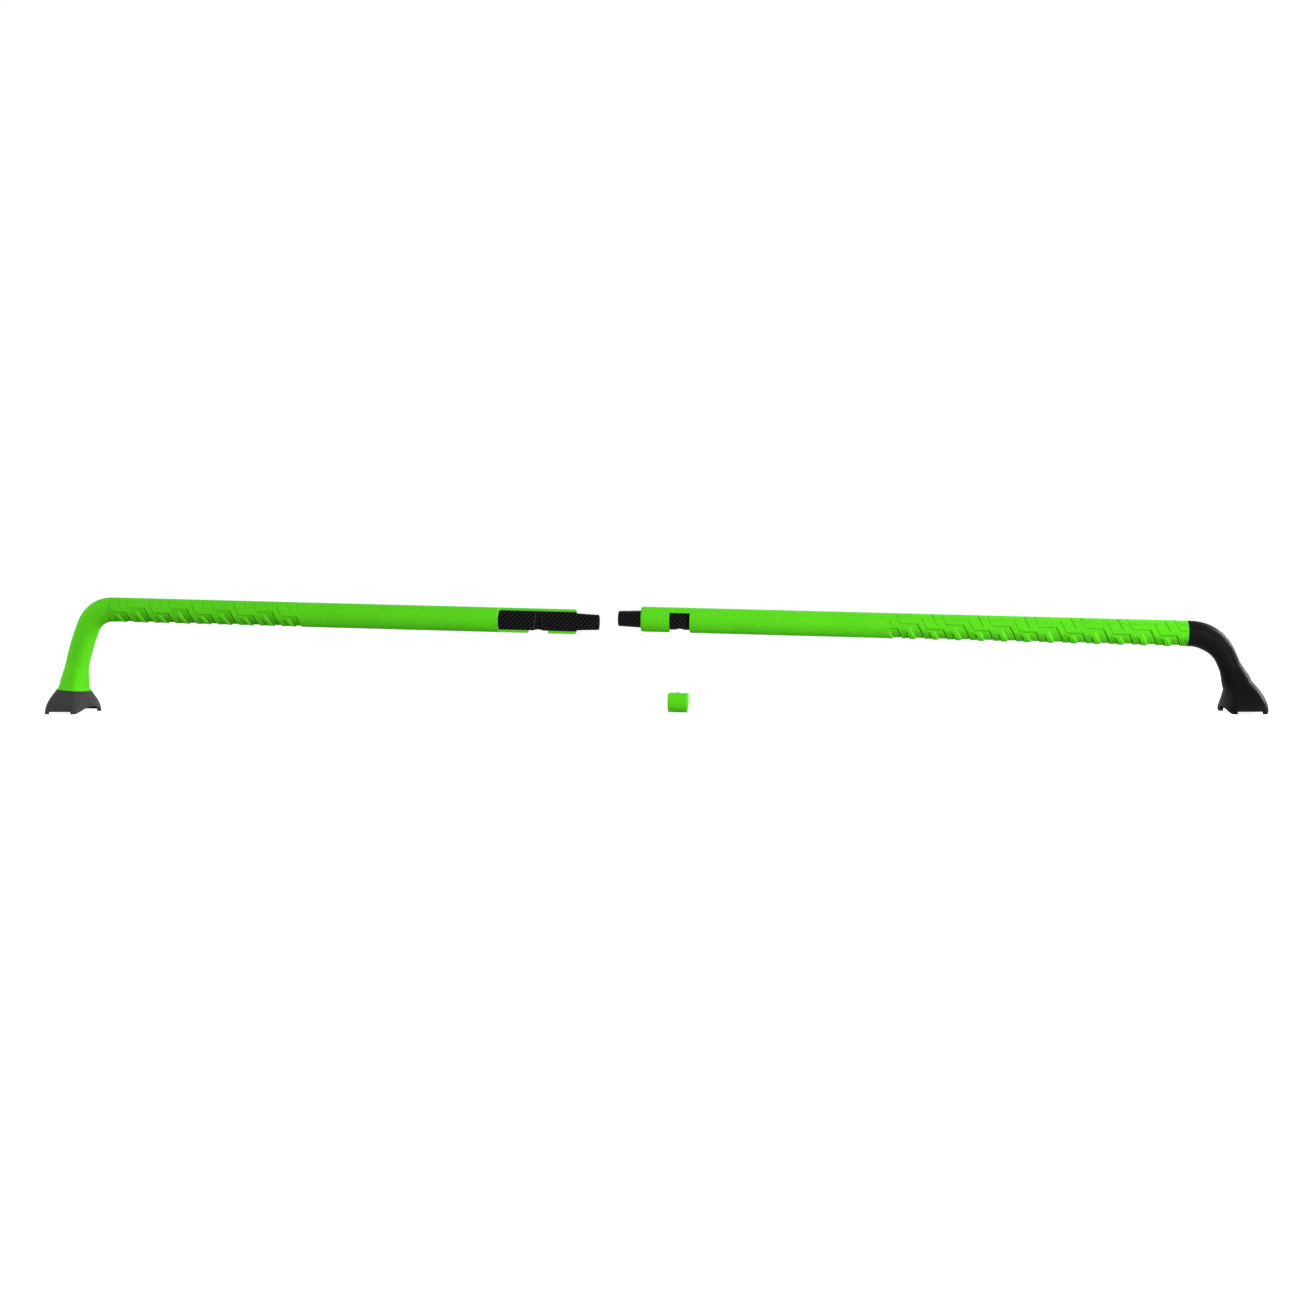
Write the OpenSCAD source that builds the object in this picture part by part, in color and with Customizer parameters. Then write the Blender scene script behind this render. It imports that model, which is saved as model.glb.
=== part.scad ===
// Two-piece hand boom for an inflatable wing, laid out taken apart: a front half and a rear half of
// foam-covered carbon tube that lap and lock with a push-on clip, each ending in a foot for the wing's strut.
// X runs along the boom from the front foot to the rear foot, Y is away from the viewer, Z is up, and the
// claws of both feet and the loose clip stand on Z = 0.

/* [Bar] */
// Outside diameter of the carbon tube
tube_d = 22; // [20:0.5:26]
// Thickness of the foam grip over the tube
foam_t = 3; // [2.5:0.1:5]
// Wall of the carbon tube
tube_wall = 1.5; // [1:0.1:2.5]
// Fall of the bar from the front foot to the rear foot, in degrees
bar_slope = 1.8; // [0:0.1:2]
// Height of the bar's axis above the floor at the joint
joint_z = 103.5; // [95:0.5:120]
// Distance between the two halves' clip seats as they lie apart
apart = 161; // [130:1:240]

/* [Half lap joint] */
// Length of the half lap
lap_len = 88; // [70:1:110]
// Length of the tapered tongue beyond the lap
tongue_len = 25.5; // [18:0.5:32]
// Wall round the mouth of the tongue's socket
socket_wall = 1.05; // [0.8:0.05:1.6]
// How much smaller the tongue's tip is than its root, in radius
tongue_taper = 1.1; // [0.9:0.1:2]
// Length of the spigot's body behind the lap, which holds the socket
root_len = 36; // [34:1:50]
// Length of the spigot's shank in the tube
shank_len = 40; // [25:1:60]
// Gap between the two lap faces
lap_gap = 0.3; // [0.2:0.05:0.5]
// Clearance of the tongue and the key in their sockets
socket_gap = 0.25; // [0.2:0.05:0.4]
// Gap at the shoulders when the joint is closed
end_gap = 0.3; // [0.2:0.05:0.6]

/* [Lock clip] */
// Length of the clip along the bar
clip_len = 22; // [16:0.5:26]
// Gap at each end of the clip in its window
clip_gap = 0.4; // [0.3:0.1:1]
// Height of the clip's lips above the bar's axis
clip_lip = 7.5; // [4:0.5:8]
// Depth of the flats on the spigots at the clip's seat
flat_depth = 2.3; // [1.5:0.1:3]
// Clearance of the clip on its flats and round the spigots
clip_clear = 0.3; // [0.3:0.05:0.5]
// Radius of the key at the clip's floor
key_r = 4.4; // [3:0.1:4.8]
// Radius of the key at its tip
key_tip_r = 2.4; // [1.5:0.1:2.8]
// Height of the key's tip above the bar's axis
key_top = 8.5; // [6:0.5:8.5]
// Depth of the key's stub in the clip's floor
key_seat = 1.5; // [1:0.1:2]
// Depth of the finger scoop in the clip's walls
scoop_depth = 1; // [0.5:0.1:1.5]

/* [Grips] */
// Smooth grip from the clip's seat to the ribbed grip, front half
front_smooth = 272; // [180:1:360]
// Smooth grip from the clip's seat to the ribbed grip, rear half
rear_smooth = 230.5; // [180:0.5:360]
// Number of ribs under the front hand grip
front_ribs = 9; // [4:1:12]
// Number of ribs under the rear hand grip
rear_ribs = 13; // [4:1:16]
// Spacing of the ribs along the bar
rib_pitch = 25; // [20:1:32]
// Length trimmed off the end of the rear hand grip
rear_trim = 2; // [0:0.5:6]
// Distance from the start of the ribbed grip to its first rib, front half
front_rib_first = 13.5; // [6:0.1:30]
// Distance from the start of the ribbed grip to its first rib, rear half
rear_rib_first = 25.2; // [6:0.1:30]
// Width of a rib along the bar
rib_w = 7; // [4:0.5:10]
// Lean of the ribs from square to the bar, in degrees
rib_lean = 27; // [10:1:40]
// Height above the bar's axis where a long rib starts
rib_long_top = -1; // [-6:0.5:4]
// Height above the bar's axis where a short rib starts
rib_short_top = -4; // [-8:0.5:0]
// How far the ribs stand below the smooth grip
rib_proud = 0.3; // [0:0.1:0.6]
// Depth of the hollow between the ribs, at the bottom of the grip
rib_hollow = 1.2; // [0.6:0.1:1.6]
// Rounding of the foam's free ends
foam_round = 1.6; // [0.5:0.1:2.2]
// Gap of a glued or stretched-on piece round what it covers
bond_gap = 0.05; // [0.02:0.01:0.1]

/* [Elbows] */
// Bend radius of the front elbow
front_bend_r = 30; // [26:0.5:40]
// Lean of the front leg from upright, in degrees
front_lean = 23; // [5:0.5:28]
// Front foot's centre beyond the start of its elbow
front_foot_out = 48.5; // [44:0.5:60]
// Radius of the front leg's sleeve at its narrowest
front_leg_r = 13; // [12:0.5:14]
// Bend radius of the rear elbow
rear_bend_r = 43; // [34:0.5:46]
// Straight length of the rear elbow before its bend
rear_straight = 3; // [1:0.5:6]
// Lean of the rear leg from upright, in degrees
rear_lean = 23; // [15:0.5:32]
// Rear foot's centre beyond the start of its elbow
rear_foot_out = 59; // [54:0.5:66]
// Radius of the rear leg at its narrowest
rear_leg_r = 11; // [10:0.5:13.5]
// Length of the elbow's spigot inside the tube
plug_len = 45; // [30:1:70]
// Thickness of the front leg's foam sleeve
sleeve_t = 2.6; // [2:0.1:3.5]
// Height of the sleeve's lower edge above the floor
sleeve_z = 26.5; // [24:0.5:32]

/* [Feet] */
// Length of a foot across the boom
foot_y = 78; // [70:1:90]
// Length of a foot along the boom, over its bowed sides
foot_x = 49; // [44:1:60]
// Length of a foot's straight front and back edges
foot_edge = 29; // [22:1:32]
// Height of the neck, where the foot starts to spread
neck_z = 31; // [26:1:36]
// Size of the neck across the boom
neck_y = 42; // [34:1:52]
// Size of the neck along the boom
neck_x = 29; // [28:1:36]
// Fullness of the foot's sides: 1 is a straight spread, more is bowed out
foot_bow = 1.9; // [1:0.1:3]
// Softness of the run from the foot into the neck: 1 meets it at an angle, more runs into it
neck_ease = 1.4; // [1:0.1:2.5]
// Wall of the foot round its hollow
foot_wall = 2.8; // [2:0.1:4]
// Height of the hollow under the foot
hollow_z = 16; // [12:0.5:20]
// Rise of the seat for the strut, at the middle of the foot
seat_rise = 7.5; // [5:0.5:9]
// Width of a claw's tip across the boom
claw_y = 2.8; // [2:0.1:6]
// Width of a claw along the boom
claw_x = 0.8; // [0.4:0.1:4]
// Height of the edge between two claws
claw_z = 2.7; // [1.5:0.1:4]

/* [Strut screws] */
// Radius of the boss round the threaded insert
boss_r = 8; // [7:0.5:9]
// Height of the boss's face above the floor
boss_z = 9; // [8:0.5:11]
// Outside radius of the threaded insert
insert_r = 4.5; // [4:0.1:5.5]
// Radius of the insert's hole
insert_hole_r = 2.5; // [2:0.1:3.3]
// Length of the insert
insert_len = 12; // [8:0.5:14]

/* [Hidden] */
$fn = 96;

grip_d = tube_d + 2 * foam_t;
grip_r = grip_d / 2;
core_r = tube_d / 2;
tube_in_r = core_r - tube_wall;
foam_in_r = core_r + bond_gap;
foam_edge = min(foam_round, 0.6 * (grip_r - foam_in_r));
plug_r = tube_in_r - bond_gap;
lap_half = lap_len / 2;
tongue_root_r = core_r - socket_wall - socket_gap;
tongue_tip_r = tongue_root_r - tongue_taper;
flat_half = core_r - flat_depth;
spigot_end = lap_half + root_len;
shank_end = spigot_end + shank_len;
window_half = clip_len / 2 + clip_gap;
window_top = clip_lip + clip_clear;
far = 4 * grip_d;

front_pattern = front_ribs * rib_pitch;
rear_pattern = rear_ribs * rib_pitch - rear_trim;
front_bar = front_smooth + front_pattern;
rear_bar = rear_smooth + rear_pattern;

// Lengths along X from each clip seat to the end of that half, and the seats' places
front_reach = front_bar * cos(bar_slope) + front_foot_out + foot_x / 2;
rear_reach = rear_bar * cos(bar_slope) + rear_foot_out + foot_x / 2;
front_key_x = (front_reach - rear_reach - apart) / 2;
rear_key_x = front_key_x + apart;
front_start = [front_key_x - front_bar * cos(bar_slope), joint_z + front_bar * sin(bar_slope)];
rear_start = [rear_key_x + rear_bar * cos(bar_slope), joint_z - rear_bar * sin(bar_slope)];

// How far the loose clip stands below its seat, square to the bar
clip_drop = (joint_z - clip_len / 2 * sin(bar_slope)) / cos(bar_slope) - grip_r;

// Sections of a lofted end: half sizes [flat edge, bowed side, across the boom]
neck_size = [foot_edge / 6, neck_x / 2, neck_y / 2];
foot_size = [foot_edge / 2, foot_x / 2, foot_y / 2];
arc_points = 13;
round_share = 0.91;
bend_rings = 12;
leg_rings = 18;

function mix(a, b, w) = a * (1 - w) + b * w;
function ease(w) = let(v = max(0, min(1, w))) v * v * (3 - 2 * v);

// One ring: a circle of radius r at w = 0, the flat-ended oval of half sizes s at w = 1
function ring(w, r, s) = concat(
  [for (k = [0:arc_points - 1])
    let(t = -90 + 180 * k / (arc_points - 1), q = t * round_share)
    mix([r * cos(q), r * sin(q)], [s[0] + (s[1] - s[0]) * cos(t), s[2] * sin(t)], w)],
  [for (k = [0:arc_points - 1])
    let(t = 90 - 180 * k / (arc_points - 1), q = t * round_share)
    mix([-r * cos(q), r * sin(q)], [-s[0] - (s[1] - s[0]) * cos(t), s[2] * sin(t)], w)]);

// The foot's half sizes at height z
function foot_at(z) = mix(neck_size, foot_size, pow(1 - pow(min(1, z / neck_z), foot_bow), neck_ease));
// Share of the foot's oval in a leg's section at height z, where the leg is round above flare_z
function oval_at(z, flare_z) = ease((flare_z - z) / (flare_z - neck_z));

// Centre line of an end, from the start of its elbow outwards and down to the floor: [out, z, heading]
function bend_at(z0, heading, bend_r, lean, i) =
  let(h = heading + (lean - 90 - heading) * i / bend_rings)
  [bend_r * (sin(heading) - sin(h)), z0 + bend_r * (cos(h) - cos(heading)), h];
function leg_at(top, foot_out, lean, t) =
  let(z1 = top[1], dx = foot_out - top[0], m = z1 * tan(lean))
  [top[0] + dx * (3 * t * t - 2 * t * t * t) + m * (t - 2 * t * t + t * t * t),
   z1 * (1 - t),
   atan2(-z1, dx * (6 * t - 6 * t * t) + m * (1 - 4 * t + 3 * t * t))];
// A ring set square to the centre line
function place(p, shape) = [for (q = shape) [p[0] - q[0] * sin(p[2]), q[1], p[1] + q[0] * cos(p[2])]];

module loft(rings) {
  n = len(rings[0]);
  last = (len(rings) - 1) * n;
  polyhedron(
    points = [for (r = rings, p = r) p],
    faces = concat(
      [[for (j = [n - 1:-1:0]) j], [for (j = [0:n - 1]) last + j]],
      [for (i = [0:len(rings) - 2], j = [0:n - 1])
        let(a = i * n + j, b = i * n + (j + 1) % n) each [[a, b, b + n], [a, b + n, a + n]]]));
}

module loft_sleeve(outer, inner) {
  n = len(outer[0]);
  count = len(outer) * n;
  last = count - n;
  polyhedron(
    points = concat([for (r = outer, p = r) p], [for (r = inner, p = r) p]),
    faces = concat(
      [for (i = [0:len(outer) - 2], j = [0:n - 1])
        let(a = i * n + j, b = i * n + (j + 1) % n) each [[a, b, b + n], [a, b + n, a + n]]],
      [for (i = [0:len(outer) - 2], j = [0:n - 1])
        let(a = count + i * n + j, b = count + i * n + (j + 1) % n) each [[a, b + n, b], [a, a + n, b + n]]],
      [for (j = [0:n - 1]) let(k = (j + 1) % n) each [[k, j, count + j], [k, count + j, count + k]]],
      [for (j = [0:n - 1])
        let(a = last + j, b = last + (j + 1) % n) each [[a, b, count + b], [a, count + b, count + a]]]));
}

// Frame of one half: origin at its clip seat, x out along the bar, z square to it; turn is 180 for the front
module half_frame(key_x, turn) {
  translate([key_x, 0, joint_z]) rotate([0, bar_slope, 0]) rotate([0, 0, turn]) children();
}
module front_frame() { half_frame(front_key_x, 180) children(); }
module rear_frame() { half_frame(rear_key_x, 0) children(); }

module rod(r, from, to) {
  translate([from, 0, 0]) rotate([0, 90, 0]) cylinder(r = r, h = to - from);
}
module taper(r_from, r_to, from, to) {
  translate([from, 0, 0]) rotate([0, 90, 0]) cylinder(r1 = r_from, r2 = r_to, h = to - from);
}
module pipe(r_out, r_in, from, to) {
  difference() {
    rod(r_out, from, to);
    rod(r_in, from - 1, to + 1);
  }
}
// The side of a half that its own lap is on, up to its lap face
module lap_side() {
  translate([-far, -far - lap_gap / 2, -far / 2]) cube([2 * far, far, far]);
}
module open_side() {
  translate([-far, -lap_gap / 2, -far / 2]) cube([2 * far, far, far]);
}
// Key of the joint, square to the bar, with extra clearance all round
module key_cone(extra) {
  bottom = -core_r - clip_clear;
  translate([0, 0, bottom])
    cylinder(r1 = key_r + extra, r2 = key_tip_r + extra, h = key_top + extra - bottom);
}
// Round stub that holds the key, and its pocket up through the clip's curved floor
module key_stub() {
  translate([0, 0, -core_r - clip_clear - key_seat]) cylinder(r = key_r, h = key_seat);
}
module key_pocket() {
  translate([0, 0, -core_r - clip_clear - key_seat - bond_gap])
    cylinder(r = key_r + bond_gap, h = key_seat + bond_gap + key_r);
}

// Socket in a half's spigot for the other half's tongue, open at its mouth
module tongue_socket() {
  mouth = 2;
  flare = (tongue_root_r - tongue_tip_r) / tongue_len;
  intersection() {
    taper(tongue_root_r + socket_gap + mouth * flare, tongue_tip_r + socket_gap - end_gap * flare,
      lap_half - mouth, lap_half + tongue_len + end_gap);
    open_side();
  }
}

// Carbon half-lap spigot: lap, tapered tongue, socket for the other tongue, and shank
module spigot() {
  difference() {
    union() {
      intersection() {
        union() {
          rod(core_r, end_gap - lap_half, lap_half + end_gap);
          taper(tongue_tip_r, tongue_root_r, -lap_half - tongue_len, end_gap - lap_half);
        }
        lap_side();
      }
      difference() {
        rod(core_r, lap_half, spigot_end);
        tongue_socket();
      }
      rod(plug_r, spigot_end, shank_end);
    }
    key_cone(socket_gap);
    translate([-window_half, -far - flat_half, -far / 2]) cube([2 * window_half, far, far]);
  }
}

// Profile of a foam ring with rounded outer corners at one end or both
module foam_profile(from, to, round_from, round_to) {
  steps = 6;
  polygon(concat(
    [[foam_in_r, from]],
    round_from ? [for (i = [0:steps]) let(a = 90 * i / steps)
      [grip_r - foam_edge + foam_edge * sin(a), from + foam_edge - foam_edge * cos(a)]] : [[grip_r, from]],
    round_to ? [for (i = [0:steps]) let(a = 90 * i / steps)
      [grip_r - foam_edge + foam_edge * cos(a), to - foam_edge + foam_edge * sin(a)]] : [[grip_r, to]],
    [[foam_in_r, to]]));
}
module foam_ring(from, to, round_from, round_to) {
  rotate([0, 90, 0]) rotate_extrude() foam_profile(from, to, round_from, round_to);
}

// Smooth grip: a full ring behind the lap and a half shell over it, with the clip's window
module joint_grip(smooth) {
  difference() {
    union() {
      foam_ring(lap_half, smooth, true, false);
      intersection() {
        foam_ring(end_gap - lap_half, lap_half + 2 * foam_edge, true, false);
        lap_side();
      }
    }
    translate([-window_half, -far, -far]) cube([2 * window_half, 2 * far, far + window_top]);
  }
}

// Ribbed hand grip: hollowed along its underside, with leaning ribs left standing, long and short by turns
module hand_grip(from, to, count, first, lean, long_first) {
  rib_half = rib_w / 2;
  difference() {
    union() {
      translate([0, 0, rib_hollow / 2]) rod(grip_r - rib_hollow / 2, from, to);
      intersection() {
        rod(grip_r + rib_proud, from, to);
        for (i = [0:count - 1]) {
          top = (i % 2 == 0) == long_first ? rib_long_top : rib_short_top;
          translate([from + first + i * rib_pitch, 0, -grip_r])
            intersection() {
              rotate([0, -lean, 0]) translate([-rib_half, -far / 2, -far / 2]) cube([rib_w, far, far]);
              translate([-far / 2, -far / 2, -far]) cube([far, far, far + grip_r + top]);
            }
        }
      }
    }
    rod(foam_in_r, from - 1, to + 1);
  }
}

// The foot's underside: hollow, seat for the strut and the edges between the claws
module foot_hollow(x) {
  heights = [-1, hollow_z / 3, hollow_z * 2 / 3, hollow_z];
  inset = [foot_wall / 3, foot_wall, foot_wall];
  loft([for (z = [hollow_z, heights[2], heights[1], heights[0]])
    place([x, z, -90], ring(1, 1, foot_at(max(0, z)) - inset))]);
}
module foot_trim(x) {
  seat_half = foot_y / 2 - claw_y;
  seat_r = (seat_half * seat_half + seat_rise * seat_rise) / (2 * seat_rise);
  edge = foot_edge - 2 * claw_x;
  translate([x - foot_x, 0, seat_rise - seat_r]) rotate([0, 90, 0]) cylinder(r = seat_r, h = 2 * foot_x);
  for (side = [-1, 1])
    translate([x - edge / 2, side * foot_y / 2 - foot_y / 6, -1]) cube([edge, foot_y / 3, 1 + claw_z]);
}

// A moulded end: lofted elbow and foot, plug for the tube and boss for the insert, in the half's own X sense
module moulded_end(rings, foot_out) {
  difference() {
    union() {
      difference() {
        loft(rings);
        foot_hollow(foot_out);
      }
      translate([foot_out, 0, boss_z]) cylinder(r = boss_r, h = hollow_z + 2 - boss_z);
    }
    foot_trim(foot_out);
    translate([foot_out, 0, boss_z - 1]) cylinder(r = insert_r + bond_gap, h = 1 + insert_len + bond_gap);
  }
}
module foot_insert() {
  translate([0, 0, boss_z]) difference() {
    cylinder(r = insert_r, h = insert_len);
    translate([0, 0, -1]) cylinder(r = insert_hole_r, h = insert_len + 2);
  }
}

// Centre lines and sections of the two ends, measured outwards from the start of each elbow
front_bend = [for (i = [0:bend_rings]) bend_at(front_start[1], bar_slope, front_bend_r, front_lean, i)];
front_flare_z = 1.9 * neck_z;
rear_first = [0, rear_start[1], -bar_slope];
rear_turn = [rear_straight * cos(bar_slope), -rear_straight * sin(bar_slope), 0];
rear_bend = [for (i = [0:bend_rings])
  rear_turn + bend_at(rear_start[1], -bar_slope, rear_bend_r, rear_lean, i)];
rear_leg = [for (i = [1:leg_rings])
  leg_at(rear_bend[bend_rings], rear_foot_out, rear_lean, i / leg_rings)];
rear_flare_z = 1.5 * neck_z;

// Front leg's centre line down to the sleeve's lower edge
sleeve_share = 1 - sleeve_z / front_bend[bend_rings][1];
sleeve_leg = [for (i = [1:leg_rings])
  leg_at(front_bend[bend_rings], front_foot_out, front_lean, sleeve_share * i / leg_rings)];
foot_leg = [for (i = [0:4])
  leg_at(front_bend[bend_rings], front_foot_out, front_lean, mix(sleeve_share, 1, i / 4))];

// A leg narrows from the grip's radius to its own through its bend; turned is the share of the bend done
front_narrowing = 2;
rear_narrowing = 1;
function leg_r(narrow_r, turned) = mix(grip_r, narrow_r, ease(turned));
function front_ring(p, turned, less) =
  place(p, ring(oval_at(p[1], front_flare_z), leg_r(front_leg_r, front_narrowing * turned) - less,
    foot_at(p[1]) - [0, less, less]));
function rear_ring(p, turned) =
  place(p, ring(oval_at(p[1], rear_flare_z), leg_r(rear_leg_r, rear_narrowing * turned), foot_at(p[1])));
function front_rings(less) = concat(
  [for (i = [0:bend_rings]) front_ring(front_bend[i], i / bend_rings, less)],
  [for (p = sleeve_leg) front_ring(p, 1, less)]);

module front_elbow() {
  rings = concat(front_rings(sleeve_t + bond_gap), [for (p = foot_leg) front_ring(p, 1, 0)]);
  color("#474747") {
    translate([front_start[0], 0, 0]) mirror([1, 0, 0]) moulded_end(rings, front_foot_out);
    front_frame() rod(plug_r, front_bar - plug_len, front_bar + 1);
  }
}
module front_leg_sleeve() {
  color("#5cd61f") translate([front_start[0], 0, bond_gap]) mirror([1, 0, 0])
    loft_sleeve(front_rings(0), front_rings(sleeve_t));
}
module front_hand_grip() {
  color("#5cd61f") front_frame()
    hand_grip(front_smooth, front_bar, front_ribs, front_rib_first, -rib_lean, false);
}
module front_joint_grip() { color("#5cd61f") front_frame() joint_grip(front_smooth); }
module front_tube() { color("#202124") front_frame() pipe(core_r, tube_in_r, spigot_end, front_bar); }
module front_spigot() { color("#191a1c") front_frame() spigot(); }
module front_foam_core() {
  color("#e6e2d6") front_frame() rod(plug_r, shank_end, front_bar - plug_len);
}
module front_foot_insert() {
  color("#b8913c") translate([front_start[0] - front_foot_out, 0, 0]) foot_insert();
}

module rear_elbow() {
  rings = concat(
    [rear_ring(rear_first, 0)],
    [for (i = [0:bend_rings]) rear_ring(rear_bend[i], i / bend_rings)],
    [for (p = rear_leg) rear_ring(p, 1)]);
  color("#232323") {
    translate([rear_start[0], 0, 0]) moulded_end(rings, rear_foot_out);
    rear_frame() rod(plug_r, rear_bar - plug_len, rear_bar + 1);
  }
}
module rear_hand_grip() {
  color("#62e02a") rear_frame()
    hand_grip(rear_smooth, rear_bar, rear_ribs, rear_rib_first, rib_lean, true);
}
module rear_joint_grip() { color("#62e02a") rear_frame() joint_grip(rear_smooth); }
module rear_tube() { color("#202124") rear_frame() pipe(core_r, tube_in_r, spigot_end, rear_bar); }
module rear_spigot() { color("#191a1c") rear_frame() spigot(); }
module rear_foam_core() {
  color("#e6e2d6") rear_frame() rod(plug_r, shank_end, rear_bar - plug_len);
}
module rear_foot_insert() {
  color("#b8913c") translate([rear_start[0] + rear_foot_out, 0, 0]) foot_insert();
}

// Place of the loose clip: below the rear half's window, square to the bar
module clip_frame() { rear_frame() translate([0, 0, -clip_drop]) children(); }

// Push-on clip: a round-backed channel that slides up over the closed lap
module lock_clip() {
  inner_half = flat_half + clip_clear;
  cradle_r = core_r + clip_clear;
  half_len = clip_len / 2;
  scoop_r = 3 * clip_lip;
  color("#5cd61f") clip_frame() difference() {
    rod(grip_r, -half_len, half_len);
    intersection() {
      rod(cradle_r, -clip_len, clip_len);
      translate([-clip_len, -inner_half, -far]) cube([2 * clip_len, 2 * inner_half, far]);
    }
    translate([-clip_len, -inner_half, -0.01]) cube([2 * clip_len, 2 * inner_half, far]);
    translate([-clip_len, -far / 2, clip_lip]) cube([2 * clip_len, far, far]);
    for (side = [-1, 1])
      translate([0, side * (grip_r + scoop_r - scoop_depth), clip_lip]) sphere(r = scoop_r);
    key_pocket();
  }
}
// Hard key bonded in the clip's floor, which pins the two laps
module clip_key() {
  color("#49b81a") clip_frame() union() {
    key_cone(0);
    key_stub();
  }
}

front_elbow();
front_leg_sleeve();
front_hand_grip();
front_joint_grip();
front_tube();
front_spigot();
front_foam_core();
front_foot_insert();
rear_elbow();
rear_hand_grip();
rear_joint_grip();
rear_tube();
rear_spigot();
rear_foam_core();
rear_foot_insert();
lock_clip();
clip_key();
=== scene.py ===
# %% [markdown]
# # A two-piece hand boom for an inflatable wing
#
# The boom lies taken apart: a front half, a rear half and the small clip that locks them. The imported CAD
# model is loaded first and stays fixed. It carries the right sizes, so everything made here is laid over
# it in the same frame, in metres. The foam, the moulded ends and the clip get finer skins than the CAD
# solids have, and each of those skins then stands for its solid.

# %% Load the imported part
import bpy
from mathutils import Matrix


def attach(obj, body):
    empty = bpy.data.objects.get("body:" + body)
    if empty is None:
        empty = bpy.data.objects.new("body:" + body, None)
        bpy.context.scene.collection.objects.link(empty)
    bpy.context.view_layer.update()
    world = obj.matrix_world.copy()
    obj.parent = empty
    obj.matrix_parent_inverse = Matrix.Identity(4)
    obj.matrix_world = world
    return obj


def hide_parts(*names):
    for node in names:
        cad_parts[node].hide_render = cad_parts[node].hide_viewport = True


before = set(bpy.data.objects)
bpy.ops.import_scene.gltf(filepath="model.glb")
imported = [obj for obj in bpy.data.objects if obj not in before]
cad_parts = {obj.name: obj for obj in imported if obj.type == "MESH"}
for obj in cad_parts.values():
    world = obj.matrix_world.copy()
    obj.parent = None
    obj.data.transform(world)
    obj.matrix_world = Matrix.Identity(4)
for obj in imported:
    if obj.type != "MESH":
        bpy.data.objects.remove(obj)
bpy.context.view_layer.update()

import math

import bmesh
import bpy
import numpy as np
from mathutils import Matrix, Quaternion, Vector

MM = 0.001

# %% [markdown]
# ## The camera
#
# The view is nearly level and a little to the right of the middle, as a product picture is taken. A 50 mm
# lens about two metres away keeps the long bar nearly straight. The angles could be set by eye. Here they
# come from a fit of the bar's edges and the feet's claws, so the render can be laid over the picture.

# %% Camera
AIM = Vector((19.5, 0, 63.4)) * MM
DISTANCE = 2041.5 * MM
YAW, PITCH, ROLL = (math.radians(a) for a in (5.79, 1.34, 0.322))

looking = Vector((-math.sin(YAW) * math.cos(PITCH), math.cos(YAW) * math.cos(PITCH), -math.sin(PITCH)))
lens = bpy.data.cameras.new("product_lens")
lens.lens = 50
lens.sensor_width = 36
camera = bpy.data.objects.new("camera", lens)
bpy.context.scene.collection.objects.link(camera)
camera.location = AIM - looking * DISTANCE
camera.rotation_mode = "QUATERNION"
camera.rotation_quaternion = looking.to_track_quat("-Z", "Y") @ Quaternion((0, 0, 1), -ROLL)
bpy.context.scene.camera = camera
print("camera at", [round(v, 3) for v in camera.location])

# %% [markdown]
# ## Working by hand, in code
#
# Blender's operators act on whatever is selected, and loading left the CAD pieces selected. So each step
# starts by clearing the selection and picking one object. These few helpers are the moves that every
# piece below needs: pick, apply a modifier, select edges by where they are, round them, and tidy the
# mesh. A bevel folds over itself where a line or a point lies too close to its edge, so room is made
# there first.

# %% Helpers for modelling
SHALLOW, FLAT_ENOUGH = math.radians(30), math.radians(15)
WELD = 0.001 * MM


def pick(obj):
    bpy.ops.object.select_all(action="DESELECT")
    obj.select_set(True)
    bpy.context.view_layer.objects.active = obj
    return obj


def edit(obj, mode="VERT"):
    pick(obj)
    bpy.ops.object.mode_set(mode="EDIT")
    bpy.ops.mesh.select_mode(type=mode)


def leave():
    bpy.ops.object.mode_set(mode="OBJECT")


def apply_modifier(obj, kind, **settings):
    pick(obj)
    modifier = obj.modifiers.new(kind.title(), kind)
    for option, value in settings.items():
        setattr(modifier, option, value)
    bpy.ops.object.modifier_apply(modifier=modifier.name)
    return obj


def cut(obj, tool, operation="DIFFERENCE"):
    apply_modifier(obj, "BOOLEAN", operation=operation, object=tool, solver="MANIFOLD")
    bpy.data.objects.remove(tool)
    print("  ", obj.name, operation.lower(), "leaves", len(obj.data.polygons), "faces")
    return obj


def clean(obj, gap=0.02 * MM):
    edit(obj)
    bpy.ops.mesh.select_all(action="SELECT")
    bpy.ops.mesh.remove_doubles(threshold=gap)
    bpy.ops.mesh.normals_make_consistent(inside=False)
    if bmesh.from_edit_mesh(obj.data).calc_volume(signed=True) < 0:
        bpy.ops.mesh.flip_normals()
    leave()
    return obj


def select_outer(obj, keep, angle):
    """Selects the outer sharp edges whose middle point passes the test, and counts them."""
    edit(obj, "EDGE")
    bpy.ops.mesh.select_all(action="DESELECT")
    bpy.ops.mesh.edges_select_sharp(sharpness=math.radians(angle))
    shape = bmesh.from_edit_mesh(obj.data)
    for line in shape.edges:
        middle = (line.verts[0].co + line.verts[1].co) / 2
        if line.select and not (line.is_convex and keep(middle)):
            line.select_set(False)
    bmesh.update_edit_mesh(obj.data)
    return sum(line.select for line in shape.edges)


def runs_along(line, rim):
    """True if a line leaves one of the rim's points almost along the rim."""
    for point in line.verts:
        away = line.other_vert(point).co - point.co
        for other in point.link_edges:
            if other in rim and away.angle(other.other_vert(point).co - point.co, 0) < SHALLOW:
                return True
    return False


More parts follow.
